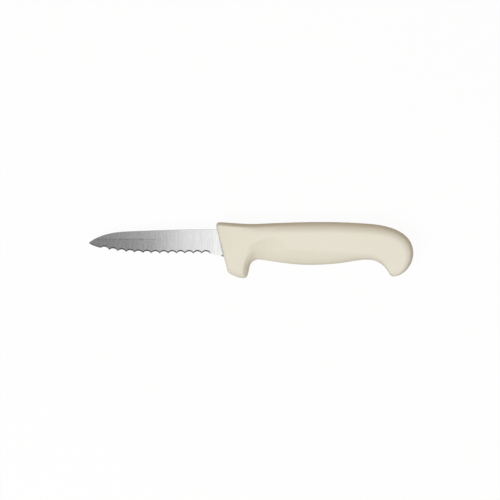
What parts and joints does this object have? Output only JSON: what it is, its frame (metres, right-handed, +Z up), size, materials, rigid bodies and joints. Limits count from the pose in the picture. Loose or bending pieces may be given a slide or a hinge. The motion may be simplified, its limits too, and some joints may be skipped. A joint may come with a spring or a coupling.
{
  "type": "paring knife",
  "caption": "Small kitchen knife with a scalloped, taper-ground steel blade and a moulded plastic handle with a finger guard, a bellied grip and a hooked butt.",
  "frame": {"origin": "under the middle of the knife as it lies on its side, on the surface that it lies on", "axes": "+X from the point towards the butt, +Y from the cutting edge towards the spine, +Z up through the handle's thickness, towards the side with the ground scallops"},
  "size_m": [0.21, 0.0364, 0.017],
  "materials": {
    "blade_steel": "cross-brushed satin stainless steel, bright ground bevels along the scallops",
    "handle_plastic": "cream polypropylene, satin as moulded, faintly mottled where it shrank"
  },
  "bodies": {
    "root": {"blade": "blade_steel", "handle": "handle_plastic"}
  },
  "joints": []
}
